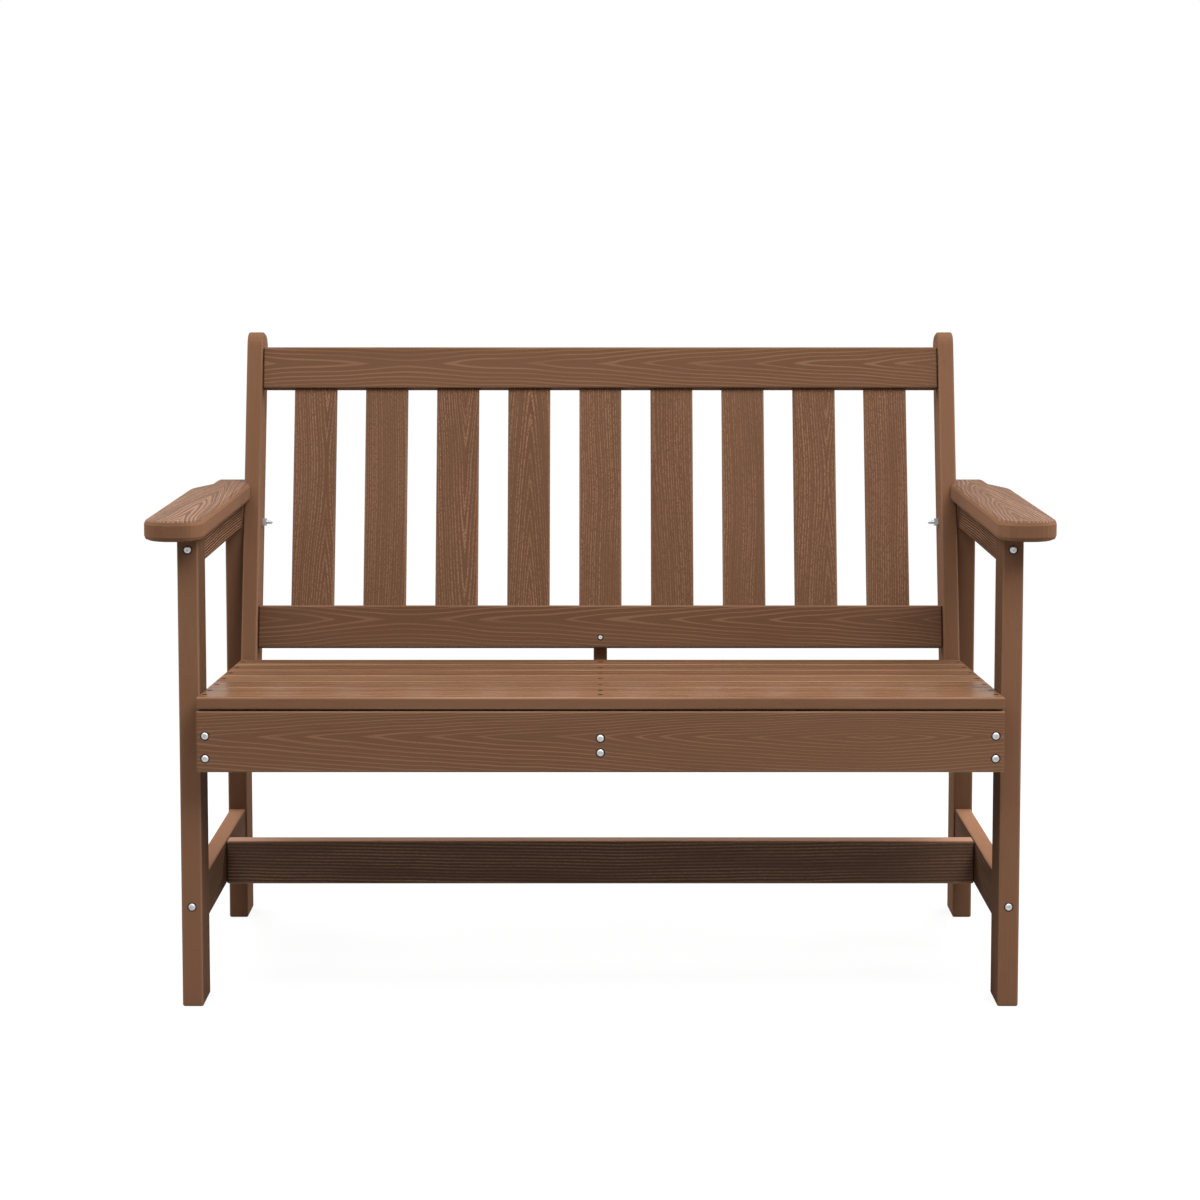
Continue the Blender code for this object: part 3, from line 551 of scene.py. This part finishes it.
def aged_and_shaded(tree, color, board, places, grain, wide, tones):
    """A board's colour with sawn ends, rubbed corners with painted highlights, painted shade towards its
    ends, and painted shade with dirt in its joints and screw holes.
    """
    u, v, w = places
    ends = rescale(tree, facing(tree, board.along), *END_FACING)
    sawn = blend(tree, work(tree, "MULTIPLY", ends, SAWN_SHARE), color, scaled(DARK_BROWN, SAWN_TONE))
    # Corners rubbed lighter, as real rubbing and as a painted highlight along the edges
    side = near_edge(tree, v, board.half_width)
    corner = work(tree, "MULTIPLY", side, near_edge(tree, w, board.half_thickness))
    patches = rescale(tree, tones, *WEAR_AND_HIGHLIGHT_RANGE, LEAST_WEAR_AND_HIGHLIGHT * grain.wear, grain.wear)
    worn_and_highlit = blend(tree, work(tree, "MULTIPLY", corner, patches), sawn, scaled(WORN_AND_HIGHLIT_BROWN, 1))
    # Painted shade, darker towards the board's ends where it meets other parts
    grime = near_end(tree, u, board, END_SHADE_REACH, grain.grime)
    end_shaded = blend(tree, grime, worn_and_highlit, scaled(DARK_BROWN, END_SHADE_TONE))
    # A near-black brown for the painted shade and dirt in joints and holes
    shade_and_dirt = scaled(DARK_BROWN, SHADE_AND_DIRT_TONE)
    # Painted shade and dirt right at the board's ends, in its joints
    joint_shaded = blend(tree, near_end(tree, u, board, JOINT_SHADE_REACH, grain.seam), end_shaded, shade_and_dirt)
    # Painted shade and dirt on the walls of the screw holes
    bored = work(tree, "MULTIPLY", drilled(tree, board, u, v, wide), grain.bore)
    return blend(tree, bored, joint_shaded, shade_and_dirt)


def lumber(name, board, grain, heart, seed):
    """Brown plastic lumber with growth lines pressed into its wide faces, and smooth edges rubbed lighter,
    with painted highlights and board-by-board painted light and shade.
    """
    material, tree, output = new_material(name + "_lumber")
    places = board_places(tree, board)
    wide = rescale(tree, facing(tree, board.through), *WIDE_FACING)
    lines = work(tree, "MULTIPLY", growth_lines(tree, places, grain, heart, seed), wide)
    fibres = board_noise(tree, places, FIBRES, seed)
    tones = board_noise(tree, places, TONES, seed)
    # The wide faces take the board's tone and the other faces their own, which on many boards paint in
    # light and shade
    ground = mottled(tree, grain.tone, grain.tint, fibres, tones)
    pale = scaled(LIGHT_BROWN, grain.light, grain.tint)
    lined = blend(tree, work(tree, "MULTIPLY", lines, grain.strength), ground, pale)
    faced = blend(tree, wide, mottled(tree, grain.edge, NEUTRAL, fibres, tones), lined)
    height = work(tree, "MULTIPLY_ADD", fibres, FIBRE_RELIEF, lines)
    inputs = {
        "Base Color": aged_and_shaded(tree, faced, board, places, grain, wide, tones),
        "Roughness": rescale(tree, fibres, *GLOSS_RANGE, *grain.gloss),
        "IOR": LUMBER_IOR,
        "Specular IOR Level": grain.specular,
        "Normal": add(tree, "ShaderNodeBump", {"Distance": grain.relief, "Height": height}).outputs[0],
    }
    shader = add(tree, "ShaderNodeBsdfPrincipled", inputs)
    tree.links.new(shader.outputs[0], output.inputs["Surface"])
    return material


def steel(finish):
    """Steel with fine grit in its polish and faint dull spots."""
    material, tree, output = new_material(finish.name)
    place = object_place(tree)
    grit = noise(tree, place, GRIT_DETAIL, GRIT_SCALE)
    spots = rescale(tree, noise(tree, place, SPOT_DETAIL, SPOT_SCALE), *SPOT_RANGE)
    roughness = [finish.roughness * share for share in GRIT_ROUGHNESS]
    relief = {"Strength": GRIT_STRENGTH, "Distance": GRIT_RELIEF, "Height": grit}
    inputs = {
        "Base Color": blend(tree, spots, scaled(finish.color, 1), scaled(finish.color, SPOT_TONE)),
        "Roughness": rescale(tree, grit, *GRIT_RANGE, *roughness),
        "Metallic": 1.0,
        "Normal": add(tree, "ShaderNodeBump", relief).outputs[0],
    }
    shader = add(tree, "ShaderNodeBsdfPrincipled", inputs)
    tree.links.new(shader.outputs[0], output.inputs["Surface"])
    return material


def dress(node, material):
    """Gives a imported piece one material."""
    node.data.materials.clear()
    node.data.materials.append(material)


def grain_of(name):
    """The first grain that a board's name starts with, or the plain one."""
    for start, grain in GRAINS.items():
        if name.startswith(start):
            return grain
    return PLAIN_GRAIN


def dress_frame():
    """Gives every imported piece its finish, by the record's slots."""
    bright = steel(STAINLESS)
    plated = steel(ZINC_PLATED)
    slots = {row["node"]: row["material_slot"] for row in frame["record"]["subparts"]}
    for number, (name, node) in enumerate(sorted(frame["nodes"].items())):
        if slots[name] == "fasteners":
            dress(node, plated if name.startswith("post_") else bright)
        else:
            heart = HEARTS.get(name, STRAIGHT)
            dress(node, lumber(name, measure_board(node), grain_of(name), heart, SEED_STEP * number))


def screw_rings(length):
    """The radius, height and depth of lobes of each ring of a screw, from its recess to its point."""
    head = SCREW_HEAD_RADIUS
    top = SCREW_HEAD_HEIGHT
    rings = [
        (SCREW_RECESS_RADIUS * SCREW_RECESS_FLOOR_SHARE, top - SCREW_RECESS_DEPTH, SCREW_LOBE_SHARE),
        (SCREW_RECESS_RADIUS, top, SCREW_LOBE_SHARE),
        (head * SCREW_HEAD_FLAT_SHARE, top, 0),
    ]
    for share in SCREW_HEAD_SIDE_SHARES:
        rings.append((head, top * share, 0))
    rings.append((SCREW_CREST, 0, 0))
    turns = int((length - SCREW_POINT) / SCREW_THREAD_PITCH)
    for turn in range(1, turns + 1):
        crest = -turn * SCREW_THREAD_PITCH
        rings.append((SCREW_ROOT, crest + SCREW_THREAD_PITCH / 2, 0))
        rings.append((SCREW_CREST, crest, 0))
    rings.append((SCREW_ROOT * SCREW_TIP_SHARE, -length, 0))
    return rings


def screw_mesh(name, length, material):
    """A screw along Z: a six-lobed recess in a round head on z = 0, and a ridged shank down to a point."""
    shape = bmesh.new()
    loops = []
    for radius, z, lobe_share in screw_rings(length):
        loop = []
        for step in range(SCREW_STEPS):
            angle = 2 * math.pi * step / SCREW_STEPS
            reach = radius * (1 + lobe_share * math.cos(SCREW_LOBES * angle))
            loop.append(shape.verts.new((reach * math.cos(angle), reach * math.sin(angle), z)))
        loops.append(loop)
    shape.faces.new(loops[0])
    shape.faces.new(reversed(loops[-1]))
    for upper, lower in zip(loops, loops[1:]):
        for step in range(SCREW_STEPS):
            after = (step + 1) % SCREW_STEPS
            shape.faces.new((upper[step], lower[step], lower[after], upper[after]))
    bmesh.ops.recalc_face_normals(shape, faces=shape.faces)
    return new_mesh(name, shape, material)


def drive_screw(name, mesh, face, direction):
    """A screw sunk into a face, along a direction."""
    screw = new_object(name, mesh)
    turn = (-UP).rotation_difference(direction).to_matrix().to_4x4()
    screw.matrix_world = Matrix.Translation(face + direction * SCREW_SINK) @ turn
    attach(screw, "root")


def build_seat_screws(coated):
    """Screws down through each seat slat into the side and center rails, in pairs in the front slat."""
    mesh = screw_mesh("seat_screw", SEAT_SCREW_LENGTH, coated)
    for index in range(1, SEAT_SLATS + 1):
        board = measure_board(frame["nodes"][f"seat_slat_{index}"])
        top = board.middle + board.through * board.half_thickness
        reach = board.half_length - SEAT_SCREW_END_INSET
        spread = board.half_width - SEAT_SCREW_EDGE_INSET
        insets = {"front": -spread, "rear": spread} if index == 1 else {"middle": 0}
        for place, x in (("left", -reach), ("center", 0), ("right", reach)):
            for inset_name, inset in insets.items():
                face = top + board.along * x + board.across * inset
                drive_screw(f"seat_screw_{index}_{inset_name}_{place}", mesh, face, -board.through)


def build_post_screws(coated):
    """Screws through the back posts into the ends of the back's rails, two to an end."""
    mesh = screw_mesh("post_screw", POST_SCREW_LENGTH, coated)
    for rail in ("top", "bottom"):
        board = measure_board(frame["nodes"][f"back_{rail}_rail"])
        for side_name, side in SIDES.items():
            low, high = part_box("back_post_" + side_name)
            outer = high.x if side > 0 else low.x
            for level, share in POST_SCREW_SHARES.items():
                face = board.middle + board.across * board.half_width * share
                face.x = outer
                drive_screw(f"{rail}_rail_{level}_screw_{side_name}", mesh, face, Vector((-side, 0, 0)))


def build_arm_screws(coated):
    """Screws up through the arm supports into the armrests."""
    mesh = screw_mesh("arm_screw", ARM_SCREW_LENGTH, coated)
    for side_name in SIDES:
        board = measure_board(frame["nodes"]["arm_support_" + side_name])
        for place, share in ARM_SCREW_SHARES.items():
            face = board.middle + board.along * board.half_length * share
            face.z -= board.half_width
            drive_screw(f"arm_screw_{place}_{side_name}", mesh, face, UP)


def seen_directly(tree):
    """1 for rays from the camera, and for those that a mirror or glass sends on."""
    path = add(tree, "ShaderNodeLightPath", {})
    either = work(tree, "MAXIMUM", path.outputs["Is Camera Ray"], path.outputs["Is Glossy Ray"])
    return work(tree, "MAXIMUM", either, path.outputs["Is Transmission Ray"])


def floor_material():
    """Pale where it lights the bench, and to the eye white with a faint shadow around the bench."""
    material, tree, output = new_material("pale_floor")
    pale = add(tree, "ShaderNodeBsdfDiffuse", {"Color": FLOOR_COLOR}).outputs[0]
    shaded = add(tree, "ShaderNodeBsdfDiffuse", {"Color": WHITE}).outputs[0]
    white = add(tree, "ShaderNodeEmission", {"Color": WHITE}).outputs[0]
    place = object_place(tree)
    distance = add(tree, "ShaderNodeVectorMath", {0: place}, operation="LENGTH").outputs["Value"]
    shade = rescale(tree, distance, *SHADE_REACH, FLOOR_SHADE, 0)
    eye = add(tree, "ShaderNodeMixShader", {0: shade, 1: white, 2: shaded}).outputs[0]
    mixed = add(tree, "ShaderNodeMixShader", {0: seen_directly(tree), 1: pale, 2: eye}).outputs[0]
    tree.links.new(mixed, output.inputs["Surface"])
    return material


def build_floor():
    """A pale floor that is white to the eye and keeps the bench's shadow."""
    shape = bmesh.new()
    bmesh.ops.create_grid(shape, x_segments=1, y_segments=1, size=FLOOR_SIZE / 2)
    floor = new_object("floor", new_mesh("floor", shape, floor_material()))
    floor.location.z = -FLOOR_DROP


def build_world():
    """A weak grey surround that is white to the eye."""
    world = bpy.data.worlds.new("studio")
    bpy.context.scene.world = world
    world.use_nodes = True
    tree = world.node_tree
    tree.nodes.clear()
    grey = add(tree, "ShaderNodeBackground", {"Color": WHITE, "Strength": SURROUND}).outputs[0]
    white = add(tree, "ShaderNodeBackground", {"Color": WHITE}).outputs[0]
    mixed = add(tree, "ShaderNodeMixShader", {0: seen_directly(tree), 1: grey, 2: white}).outputs[0]
    output = tree.nodes.new("ShaderNodeOutputWorld")
    tree.links.new(mixed, output.inputs["Surface"])


def build_light():
    """The softboxes, all turned to the middle of the bench."""
    middle = (cad_bounds[0] + cad_bounds[1]) / 2
    for box in SOFTBOXES:
        azimuth = math.radians(box.azimuth)
        elevation = math.radians(box.elevation)
        level = Vector((math.sin(azimuth), -math.cos(azimuth), 0))
        away = math.cos(elevation) * level + math.sin(elevation) * UP
        data = bpy.data.lights.new(box.name, "AREA")
        data.size = SOFTBOX_SIZE
        data.energy = box.power
        light = new_object(box.name, data)
        light.location = middle + SOFTBOX_DISTANCE * away
        light.rotation_euler = (-away).to_track_quat("-Z", "Y").to_euler()
        light.visible_glossy = box.glossy


def build_camera():
    """The photo's camera, in front of the bench and tilted down a little."""
    data = bpy.data.cameras.new("camera")
    data.sensor_width = SENSOR_WIDTH
    data.lens = FOCAL_PIXELS * SENSOR_WIDTH / FRAME_PIXELS
    data.shift_x = CAMERA_SHIFT_X
    data.shift_y = CAMERA_SHIFT_Y
    camera = new_object("camera", data)
    camera.location = (0, CAMERA_Y, CAMERA_HEIGHT)
    camera.rotation_euler = (math.radians(90 - CAMERA_TILT), 0, 0)
    bpy.context.scene.camera = camera


dress_frame()
coated_steel = steel(COATED)
build_seat_screws(coated_steel)
build_post_screws(coated_steel)
build_arm_screws(coated_steel)
build_floor()
build_world()
build_light()
build_camera()
bpy.context.scene.view_settings.view_transform = "Standard"
